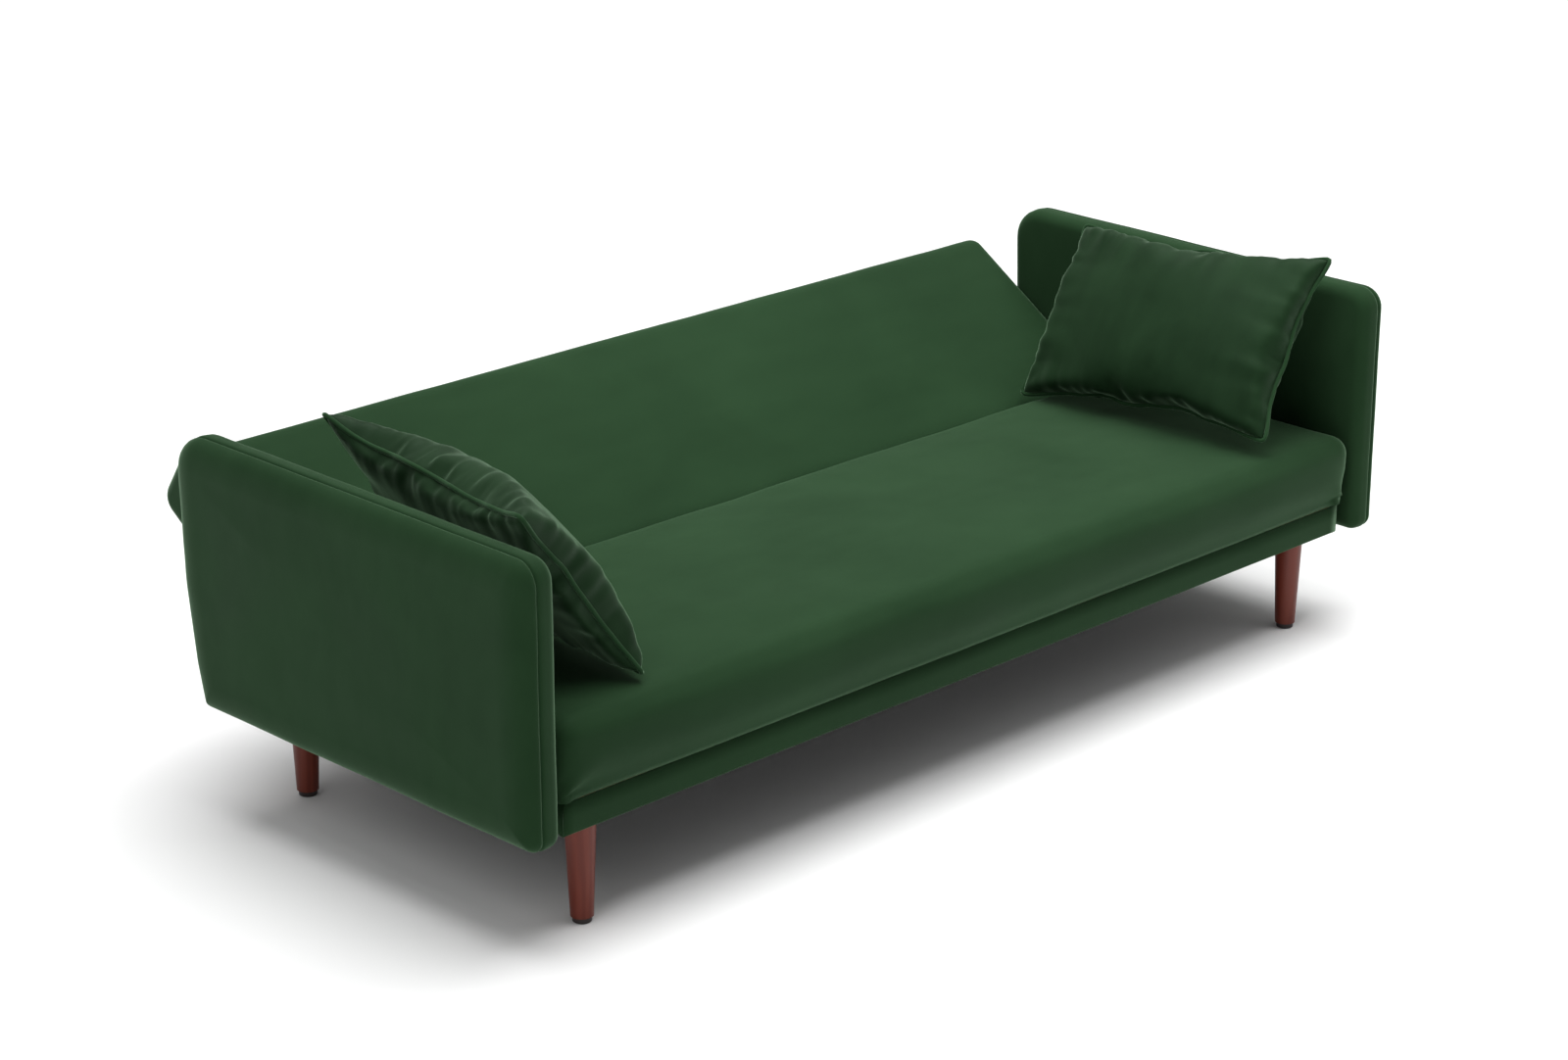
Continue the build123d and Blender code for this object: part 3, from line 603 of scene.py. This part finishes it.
def seat_cushion():
    low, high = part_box("seat_cover")
    front, rear, top = SEAT_INSET
    low = Vector((low.x, low.y + front, low.z))
    high = Vector((high.x, high.y - rear, high.z - top))
    points, faces = box_grid(low, high, SEAT_GRID)
    hinge_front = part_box("right_seat_hinge_plate")[0].y - HINGE_CLEAR_FRONT
    inner = hinge_inside()
    shaped = []
    for point in points:
        p = seat_shape(point, low, high)
        loose = 0.3 + 0.7 * smoothstep(low.z, low.z + 0.04, p.z)
        p.z += loose * (waves(p, 2.0, (0.0022, 0.20)) + waves(p, 5.0, (0.0008, 0.07)))
        p.y += waves(p, 7.0, (0.0020, 0.16)) * smoothstep(high.y, high.y - 0.05, p.y)
        if p.y > hinge_front and p.z < HINGE_CLEAR_TOP:
            p.x = math.copysign(min(abs(p.x), inner), p.x)
        shaped.append(p)
    cushion = new_object("seat_cushion", shaped, faces, VELVET, "base")
    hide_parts("seat_cover", "seat_foam", "seat_edge_foam")


# ------------------------------------------------------------------ backrest
BACK_REACH = 0.395  # from the pivot to the top
BACK_STRETCH = 0.003
BACK_HALF = 0.062  # half the thickness
BACK_END_EDGE = 0.026
BACK_FRONT_CORNER = 0.030
BACK_REAR_CORNER = 0.036
BACK_SHARPEST = 0.006
BACK_CROWN = 0.004
BACK_MIDDLE = 0.17
BACK_STATIONS = 120
BACK_HEAD_RINGS = 8
BACK_NOTCH = (0.066, 0.078)  # the ends widen here, past the hinge arms
REAR_CLOTH = (0.003, 0.351)  # from the pivot, along the back


def back_axes():
    """Pivot, direction up the back and direction out of its front, at rest."""
    joint = next(j for j in frame["joints"] if j["name"] == "recline")
    pivot = Vector(joint["pos_m"])
    angle = math.radians(-joint["range_deg"][0])
    along = Vector((0, math.cos(angle), math.sin(angle)))
    front = Vector((0, -math.sin(angle), math.cos(angle)))
    return pivot, along, front


def arc(centre, radius, start, turn, steps):
    """Evenly placed points of an arc, both ends included."""
    angles = [start + turn * k / steps for k in range(steps + 1)]
    return [centre + Vector((math.cos(a), math.sin(a))) * radius for a in angles]


def back_ring(inset):
    """Section of the backrest as (along, through), half round at the pivot."""
    r = BACK_HALF - inset
    end = BACK_REACH + BACK_STRETCH - inset
    rear = max(BACK_REAR_CORNER - inset, BACK_SHARPEST)
    front = max(BACK_FRONT_CORNER - inset, BACK_SHARPEST)
    straight = 26
    points = arc(Vector((0, 0)), r, math.pi / 2, math.pi, 20)
    points += [Vector(((end - rear) * k / straight, -r)) for k in range(1, straight)]
    points += arc(Vector((end - rear, rear - r)), rear, -math.pi / 2, math.pi / 2, 8)
    points += [Vector((end, (rear - r) + (2 * r - rear - front) * k / 4)) for k in range(1, 4)]
    points += arc(Vector((end - front, r - front)), front, 0.0, math.pi / 2, 8)
    points += [Vector(((end - front) * (1 - k / straight), r)) for k in range(1, straight)]
    return points


def back_sections():
    """Rings of (section point, x) from the left end to the right one."""
    half_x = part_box("back_cover")[1].x
    edge = [(BACK_END_EDGE * inset, BACK_END_EDGE * depth) for inset, depth in quarter_turn(10)]
    flat = 2 * (half_x - BACK_END_EDGE)
    stations = [(inset, -half_x + depth) for inset, depth in edge]
    for k in range(1, BACK_STATIONS):
        stations.append((0.0, -half_x + BACK_END_EDGE + flat * k / BACK_STATIONS))
    stations += [(inset, half_x - depth) for inset, depth in reversed(edge)]
    outline = back_ring(BACK_END_EDGE)
    middle = Vector((BACK_MIDDLE, 0.0))
    grow = [k / BACK_HEAD_RINGS for k in range(1, BACK_HEAD_RINGS)]
    rings = [[(middle.lerp(p, t), -half_x) for p in outline] for t in grow]
    rings += [[(p, x) for p in back_ring(inset)] for inset, x in stations]
    rings += [[(middle.lerp(p, t), half_x) for p in outline] for t in reversed(grow)]
    return rings, half_x


def back_cushion():
    pivot, along, front = back_axes()
    inner = hinge_inside()
    rings, half_x = back_sections()
    placed = []
    for ring in rings:
        out = []
        for (s, h), x in ring:
            crown = (1 - abs(x / half_x) ** 8) * smoothstep(0.02, 0.14, s)
            crown *= smoothstep(BACK_REACH, BACK_REACH - 0.10, s)
            if h > 0:
                h += BACK_CROWN * crown * h / BACK_HALF
            limit = inner + (half_x - inner) * smoothstep(*BACK_NOTCH, s)
            x = math.copysign(min(abs(x), limit), x)
            place = Vector((x, pivot.y, pivot.z)) + along * s + front * h
            wave = waves(place, 11.0, (0.0020, 0.22)) + waves(place, 13.0, (0.0007, 0.08))
            out.append(place + front * wave * smoothstep(0.05, 0.12, s))
        placed.append(out)
    points, faces = closed_loft(placed)
    back = new_object("backrest_cushion", points, faces, VELVET, "backrest")
    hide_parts("back_cover", "back_foam", "back_edge_foam", "back_straps")


# ------------------------------------------------------------------ pillows
PIPING_RADIUS = 0.0038
CLOTH_STEP = 0.0088
CASE_SPARE = (1.02, 1.03)  # the case is cut this much larger than it sits
CASE_START = 0.012  # how far apart the layers begin
CASE_UNEVEN = 0.0016
FILLED_THICKNESS = 0.114  # where the simulation stops
FILL_FRAMES = 45
SETTLE_ROUNDS = 30
SETTLE_REACH = (0.022, 0.085)
PILLOW_FRONT = {"left": 0.098, "right": 0.080}
PILLOW_REAR = 0.042
PUCKER = 0.019
PUCKER_FRONT_SIZE = 0.0125
PUCKER_REAR_SIZE = 0.018
WIDE_PUCKER = 0.010
SEAM_DIP = 0.0016
EAR_OUT = 0.006
EAR_UP = {"left": (0.030, 0.004), "right": (-0.006, 0.002)}  # rear and front corner


def pillow_axes(name):
    """Centre, length, height and front directions and size of a pillow, from its piping."""
    mesh = frame["nodes"][f"{name}_pillow_piping"].data
    places = np.array([v.co for v in mesh.vertices])
    centre = places.mean(0)
    spread = places - centre
    _, _, axes = np.linalg.svd(spread, full_matrices=False)
    along, up, front = (Vector(a) for a in axes)
    if along.y > 0:
        along = -along
    if up.z < 0:
        up = -up
    if front.x * centre[0] > 0:
        front = -front
    middle = []
    size = []
    for axis in (along, up, front):
        reach = spread @ np.array(axis)
        middle.append((reach.max() + reach.min()) / 2)
        size.append(reach.max() - reach.min())
    centre = Vector(centre) + along * middle[0] + up * middle[1] + front * middle[2]
    return centre, along, up, front, size


def flat_pillow(length, width, seed):
    """Two layers of a slightly full oblong case, joined at the edge."""
    nx = round(length / CLOTH_STEP)
    ny = round(width / CLOTH_STEP)
    index = {}
    points = []

    def vertex(i, j, layer):
        edge = i in (0, nx) or j in (0, ny)
        key = (i, j, 0 if edge else layer)
        if key not in index:
            u, v = 2 * i / nx - 1, 2 * j / ny - 1
            lift = CASE_START * (1 - u * u) * (1 - v * v)
            p = Vector((u * length / 2, v * width / 2, 0))
            p.z = layer * lift if not edge else 0.0
            p.z += waves(p, seed + layer, (CASE_UNEVEN, 0.05))
            index[key] = len(points)
            points.append(p)
        return index[key]

    faces = []
    for layer in (1, -1):
        for i in range(nx):
            for j in range(ny):
                quad = [vertex(i, j, layer), vertex(i + 1, j, layer)]
                quad += [vertex(i + 1, j + 1, layer), vertex(i, j + 1, layer)]
                faces.append(tuple(quad if layer > 0 else quad[::-1]))
    edge = [(i, 0) for i in range(nx)] + [(nx, j) for j in range(ny)]
    edge += [(i, ny) for i in range(nx, 0, -1)] + [(0, j) for j in range(ny, 0, -1)]
    return points, faces, [index[(i, j, 0)] for i, j in edge]


def inflate(piece, thickness):
    """Cloth simulation of the filled case, stopped when it is thick enough."""
    cloth = piece.modifiers.new("fill", "CLOTH")
    settings = cloth.settings
    settings.quality = 7
    settings.mass = 0.25
    settings.tension_stiffness = 40
    settings.compression_stiffness = 20
    settings.shear_stiffness = 10
    settings.bending_stiffness = 0.5
    settings.tension_damping = 10
    settings.compression_damping = 10
    settings.shear_damping = 10
    settings.air_damping = 3
    settings.use_pressure = True
    settings.uniform_pressure_force = 1.0
    settings.effector_weights.gravity = 0.0
    cloth.collision_settings.use_collision = False
    scene = bpy.context.scene
    for number in range(1, FILL_FRAMES + 1):
        scene.frame_set(number)
        graph = bpy.context.evaluated_depsgraph_get()
        result = [v.co.copy() for v in piece.evaluated_get(graph).data.vertices]
        heights = [p.z for p in result]
        if max(heights) - min(heights) >= thickness:
            break
    piece.modifiers.remove(cloth)
    scene.frame_set(1)
    return result


def settle(points, faces, flat, length, width):
    """The firm filling evens out dents away from the seams."""
    places = np.array(points)
    pairs = np.array([(f[k], f[(k + 1) % 4]) for f in faces for k in range(4)])
    inward = [min(length / 2 - abs(p.x), width / 2 - abs(p.y)) for p in flat]
    even = np.array([0.9 * smoothstep(*SETTLE_REACH, d) for d in inward])[:, None]
    count = np.zeros(len(places))
    np.add.at(count, pairs[:, 0], 1)
    for _ in range(SETTLE_ROUNDS):
        total = np.zeros_like(places)
        np.add.at(total, pairs[:, 0], places[pairs[:, 1]])
        places += (total / count[:, None] - places) * even
    return [Vector(p) for p in places]


def pucker(flat, length, width, seed):
    """Gathers that run in from the seam, as a height at one place of the flat case."""
    face, size = (10.0, PUCKER_FRONT_SIZE) if flat.z > 0 else (0.0, PUCKER_REAR_SIZE)
    sides = (
        (length / 2 - abs(flat.x), flat.y, 1.0 if flat.x > 0 else 2.0, width),
        (width / 2 - abs(flat.y), flat.x, 3.0 if flat.y > 0 else 4.0, length),
    )
    height = 0.0
    for inward, along, number, run in sides:
        ends = smoothstep(0.0, 0.05, run / 2 - abs(along))
        place = Vector((along / size, inward / 0.10, seed + number + face))
        strong = 0.40 + abs(noise.noise(Vector((along / 0.07, seed - number, face))))
        fade = math.exp(-inward / 0.026) * (1 - math.exp(-inward / 0.005))
        height += PUCKER * strong * fade * ends * noise.noise(place)
        place = Vector((along / 0.036, inward / 0.13, seed - number - face))
        fade = math.exp(-inward / 0.050) * (1 - math.exp(-inward / 0.012))
        height += WIDE_PUCKER * fade * ends * noise.noise(place)
        height -= SEAM_DIP * math.exp(-(((inward - 0.006) / 0.004) ** 2))
    return height


def fit_pillow(name, result, length, width):
    """The filled shape brought to the pillow's size, with its corners drawn out."""
    low = Vector((min(p[k] for p in result) for k in range(3)))
    high = Vector((max(p[k] for p in result) for k in range(3)))
    scale = (length / (high.x - low.x), width / (high.y - low.y))
    middle = (low + high) / 2
    fitted = []
    for p in result:
        full = abs(p.z) / (high.z if p.z > 0 else -low.z)
        z = PILLOW_FRONT[name] * full**0.82 if p.z > 0 else -PILLOW_REAR * full**0.9
        x, y = (p.x - middle.x) * scale[0], (p.y - middle.y) * scale[1]
        ear = smoothstep(0.70, 1.0, abs(2 * x / length)) * smoothstep(0.55, 1.0, abs(2 * y / width))
        x += math.copysign(EAR_OUT * ear, x)
        if y > 0:
            y += EAR_UP[name][0 if x < 0 else 1] * ear
        fitted.append(Vector((x, y, z)))
    return fitted


def pillow(name, body, seed):
    centre, along, up, front, size = pillow_axes(name)
    length = size[0] - 2 * PIPING_RADIUS
    width = size[1] - 2 * PIPING_RADIUS
    cut_length, cut_width = length * CASE_SPARE[0], width * CASE_SPARE[1]
    flat, faces, edge = flat_pillow(cut_length, cut_width, seed)
    case = new_object(f"{name}_pillow_case", flat, faces, PILLOW_VELVET_PAINTED_SHADE_AND_HIGHLIGHT, None)
    result = inflate(case, FILLED_THICKNESS)
    result = settle(result, faces, flat, length, width)
    fitted = fit_pillow(name, result, length, width)
    for vertex, p in zip(case.data.vertices, fitted):
        vertex.co = p
    case.data.update()
    normals = [v.normal.copy() for v in case.data.vertices]
    placed = []
    for vertex, normal, source in zip(case.data.vertices, normals, flat):
        p = vertex.co + normal * pucker(source, cut_length, cut_width, seed)
        placed.append(centre + along * p.x + up * p.y + front * p.z)
    for vertex, place in zip(case.data.vertices, placed):
        vertex.co = place
    finish_mesh(case)
    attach(case, body)
    smooth = case.modifiers.new("smooth", "SUBSURF")
    smooth.levels = 1
    smooth.render_levels = 1
    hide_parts(f"{name}_pillow_insert", f"{name}_pillow_cover", f"{name}_pillow_piping")
    pillow_piping(name, [placed[i] for i in edge], centre, front, body)


def pillow_piping(name, seam, centre, front, body):
    """A cord round the seam, half sunk in it."""
    path = []
    for p in seam:
        out = p - centre
        out = (out - front * out.dot(front)).normalized()
        path.append(p + out * PIPING_RADIUS * 0.5)
    count = len(path)
    for _ in range(2):
        path = [(path[k - 1] + path[k] * 2 + path[(k + 1) % count]) / 4 for k in range(count)]
    piping = closed_cord(f"{name}_pillow_piping_cord", path, PIPING_RADIUS, WELT_PAINTED_HIGHLIGHT, body)


# ------------------------------------------------------------------ base cover and linings
RAIL_LIP = 0.012
RAIL_HEM = 0.004
RAIL_CLOTH = 0.0022
RAIL_STEP = 0.02
LINING_CLOTH = 0.0005
LINING_STEP = 0.03
BACK_LINING_STEP = 0.02
LEG_PLATE = 0.070
LEG_PLATE_GAP = 0.0003
LINING_SAG = 0.0056
LINING_RIPPLE = 0.0012
BACK_LINING_GAP = 0.0009
BACK_LINING_RIPPLE = 0.0022


def rail_strip(axis, start, end, outer, z_limits):
    """Points and faces of the fabric over one base rail, with a turned-in lower edge."""
    inward = -math.copysign(1, outer)
    low, high = z_limits
    path = [(0.0, high), (0.0, (low + high) / 2), (0.0, low + RAIL_HEM)]
    path += [(RAIL_HEM * depth, low + RAIL_HEM * up) for up, depth in quarter_turn(5)[1:]]
    path.append((RAIL_LIP, low))
    count = max(2, round((end - start) / RAIL_STEP))
    points = []
    for k in range(count + 1):
        for depth, z in path:
            p = Vector((0, 0, z))
            p[axis] = start + (end - start) * k / count
            p[1 - axis] = outer + inward * depth
            p[1 - axis] += inward * 0.0006 * (soft_noise(p, 0.12, 4.0) + 0.5)
            points.append(p)
    size = len(path)
    faces = []
    for k in range(count):
        for i in range(size - 1):
            a = k * size + i
            faces.append((a, a + 1, a + size + 1, a + size))
    return points, faces


def rail_fabric(name, node, axis, outers):
    low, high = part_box(node)
    points, faces = [], []
    for outer in outers:
        more, quads = rail_strip(axis, low[axis], high[axis], outer, (low.z, high.z))
        faces += [tuple(i + len(points) for i in quad) for quad in quads]
        points += more
    piece = new_object(name, points, faces, VELVET, "base")
    thick = piece.modifiers.new("cloth", "SOLIDIFY")
    thick.thickness = RAIL_CLOTH
    thick.offset = -1.0
    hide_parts(node)


def rail_covers():
    for end in ("front", "rear"):
        low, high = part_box(f"{end}_rail_cover")
        outer = low.y if end == "front" else high.y
        rail_fabric(f"{end}_rail_fabric", f"{end}_rail_cover", 0, [outer])
    low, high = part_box("side_rail_covers")
    rail_fabric("side_rail_fabric", "side_rail_covers", 1, [low.x, high.x])


def grid_lines(low, high, step, stops):
    """Even places between limits that also fall on each stop."""
    marks = sorted({low, high, *stops})
    lines = [marks[0]]
    for a, b in zip(marks, marks[1:]):
        pieces = max(1, round((b - a) / step))
        lines += [a + (b - a) * k / pieces for k in range(1, pieces + 1)]
    return lines


def cloth_sheet(name, us, vs, holes, place, body):
    """A thin cloth over a grid, open where a hole is, placed by a function of (u, v)."""
    points = [place(u, v) for u in us for v in vs]
    faces = []
    row = len(vs)
    for i in range(len(us) - 1):
        for j in range(row - 1):
            u, v = (us[i] + us[i + 1]) / 2, (vs[j] + vs[j + 1]) / 2
            if not any(h[0] < u < h[1] and h[2] < v < h[3] for h in holes):
                a = i * row + j
                faces.append((a, a + row, a + row + 1, a + 1))
    piece = new_object(name, points, faces, LINING, body)
    work = bmesh.new()
    work.from_mesh(piece.data)
    bmesh.ops.delete(work, geom=[v for v in work.verts if not v.link_faces], context="VERTS")
    work.to_mesh(piece.data)
    work.free()
    thick = piece.modifiers.new("cloth", "SOLIDIFY")
    thick.thickness = LINING_CLOTH
    return piece


def base_lining():
    """Black cloth stapled under the frame, sagging a little between the rails."""
    low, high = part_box("dust_cloth")
    plates_low, plates_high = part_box("leg_plates")
    spare = LEG_PLATE_GAP
    size = LEG_PLATE + 2 * spare
    holes = []
    for x in (plates_low.x - spare, plates_high.x + spare - size):
        for y in (plates_low.y - spare, plates_high.y + spare - size):
            holes.append((x, x + size, y, y + size))
    xs = grid_lines(low.x, high.x, LINING_STEP, [e for h in holes for e in h[:2]])
    stops = [e for h in holes for e in h[2:] if low.y < e < high.y]
    ys = grid_lines(low.y, high.y, LINING_STEP, stops)

    def place(x, y):
        u = (x - low.x) / (high.x - low.x)
        v = (y - low.y) / (high.y - low.y)
        sag = LINING_SAG * math.sin(math.pi * v) * min(1.0, 6 * math.sin(math.pi * u))
        held = min(1, 8 * v * (1 - v))
        ripple = LINING_RIPPLE * noise.noise(Vector((x / 0.06, y / 0.16, 3.0))) * held
        return Vector((x, y, high.z - sag - abs(ripple)))

    sheet = cloth_sheet("base_lining", xs, ys, holes, place, "base")
    area = (high.x - low.x) * (high.y - low.y)
    for h in holes:
        area -= (h[1] - h[0]) * (min(h[3], high.y) - max(h[2], low.y))
    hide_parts("dust_cloth")


def back_lining():
    """Black cloth stapled over the rear of the backrest frame."""
    pivot, along, front = back_axes()
    low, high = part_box("back_rear_cloth")
    start, end = REAR_CLOTH
    level = -BACK_HALF - BACK_LINING_GAP
    xs = grid_lines(low.x, high.x, LINING_STEP, [])
    steps = grid_lines(start, end, BACK_LINING_STEP, [])

    def place(x, s):
        v = (s - start) / (end - start)
        held = min(1.0, 10 * v * (1 - v))
        ripple = abs(noise.noise(Vector((x / 0.09, s / 0.25, 9.0)))) * held
        through = level - BACK_LINING_RIPPLE * ripple
        return Vector((x, pivot.y, pivot.z)) + along * s + front * through

    sheet = cloth_sheet("back_lining", xs, steps, [], place, "backrest")
    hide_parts("back_rear_cloth")


dress_cad_nodes()
rail_covers()
arm(-1, "left")
arm(1, "right")
seat_cushion()
back_cushion()
base_lining()
back_lining()
pillow("left", "left_pillow", 21.0)
pillow("right", "right_pillow", 35.0)


# ------------------------------------------------------------------ floor, light, camera
def studio():
    """A wide pale floor under an even white sky."""
    floor_mesh = bpy.data.meshes.new("floor")
    reach = FLOOR_REACH
    corners = [(-reach, -reach, 0), (reach, -reach, 0), (reach, reach, 0), (-reach, reach, 0)]
    floor_mesh.from_pydata(corners, [], [(0, 1, 2, 3)])
    floor = bpy.data.objects.new("floor", floor_mesh)
    bpy.context.collection.objects.link(floor)
    material, tree, surface = shader("pale_floor")
    surface.inputs["Base Color"].default_value = (*FLOOR_COLOUR, 1.0)
    surface.inputs["Roughness"].default_value = 0.9
    surface.inputs["Specular IOR Level"].default_value = 0.1
    floor_mesh.materials.append(material)
    world = bpy.data.worlds.new("studio")
    world.use_nodes = True
    sky = world.node_tree.nodes["Background"]
    sky.inputs["Color"].default_value = (1.0, 1.0, 1.0, 1.0)
    sky.inputs["Strength"].default_value = SKY_STRENGTH
    bpy.context.scene.world = world


def aim(lamp, direction):
    lamp.rotation_euler = Vector(direction).to_track_quat("-Z", "Y").to_euler()
    bpy.context.collection.objects.link(lamp)


def soft_light(name, place, target, size, power):
    data = bpy.data.lights.new(name, "AREA")
    data.shape = "RECTANGLE"
    data.size, data.size_y = size
    data.energy = power
    lamp = bpy.data.objects.new(name, data)
    lamp.location = place
    aim(lamp, Vector(target) - Vector(place))


def daylight(toward, strength, spread):
    """Broad soft light from one direction, even over the whole floor."""
    data = bpy.data.lights.new("daylight", "SUN")
    data.energy = strength
    data.angle = math.radians(spread)
    lamp = bpy.data.objects.new("daylight", data)
    aim(lamp, -Vector(toward))


def camera():
    data = bpy.data.cameras.new("camera")
    data.lens = CAMERA_LENS
    data.sensor_width = 36.0
    data.clip_end = 100.0
    view = bpy.data.objects.new("camera", data)
    view.location = CAMERA_PLACE
    aim(view, CAMERA_LOOK)
    bpy.context.scene.camera = view


studio()
daylight((0.16, 0.05, 1.0), 3.2, 55)
soft_light("overhead", (0.2, -0.15, 2.1), (1.0, 0.1, 0.5), (1.5, 1.3), 22)
soft_light("right", (2.2, -1.5, 2.7), (0.9, 0.0, 0.4), (2.8, 2.6), 12)
soft_light("left", (-3.7, -0.7, 2.9), (-0.2, 0, 0.4), (2.6, 2.2), 29)
camera()
bpy.context.scene.view_settings.view_transform = "Standard"
